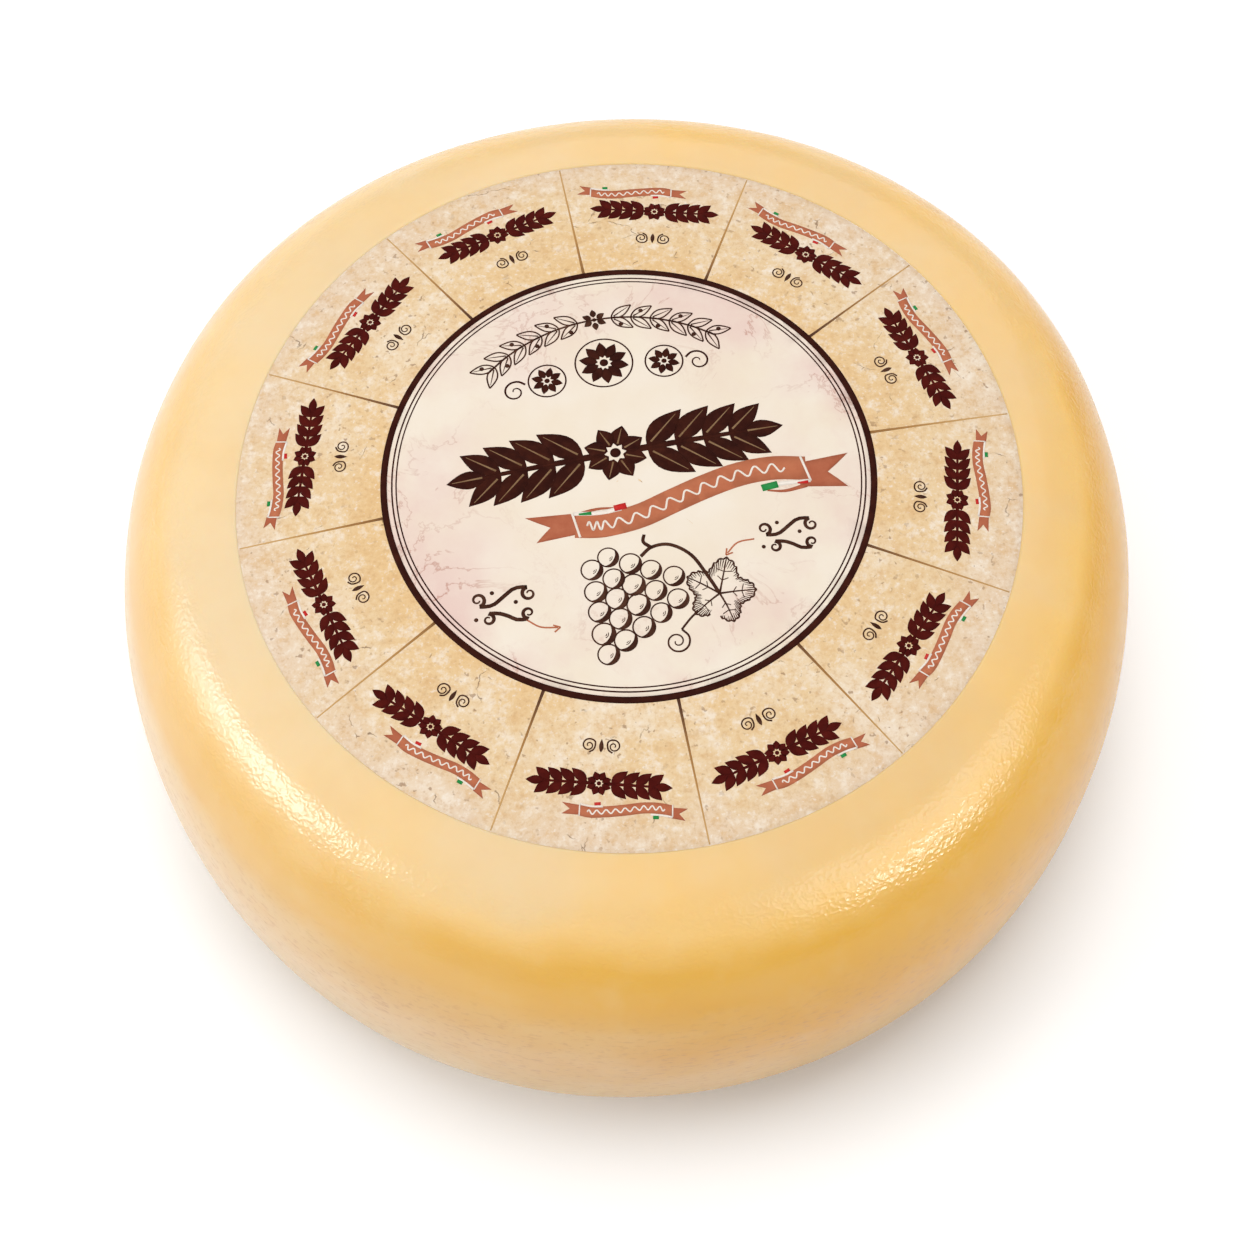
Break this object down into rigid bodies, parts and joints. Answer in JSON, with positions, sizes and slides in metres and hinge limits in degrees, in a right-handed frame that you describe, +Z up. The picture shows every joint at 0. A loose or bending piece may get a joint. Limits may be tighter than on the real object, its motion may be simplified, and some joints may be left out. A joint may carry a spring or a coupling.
{
  "type": "parmesan cheese",
  "caption": "Whole round wheel of coated hard cheese with softly rounded shoulders, a gently domed top and a round paper label let flush into it.",
  "frame": {"origin": "middle of the footprint, on the surface the wheel stands on", "axes": "+Z up through the middle of the wheel and its label, +Y away from the picture's camera, +X to its right"},
  "size_m": [0.2774, 0.2806, 0.1138],
  "materials": {
    "rind": "pale butter-yellow wax and latex coat over hard cheese, satin with a fine orange-peel sheen on the shoulder, deeper gold where the shoulder turns into the side and buff low down",
    "label_paper": "matt printed paper, mottled parchment with a marbled cream middle and dark brown, maroon and terracotta inks"
  },
  "bodies": {
    "root": {"cheese_wheel": "rind", "round_label": "label_paper"}
  },
  "joints": []
}
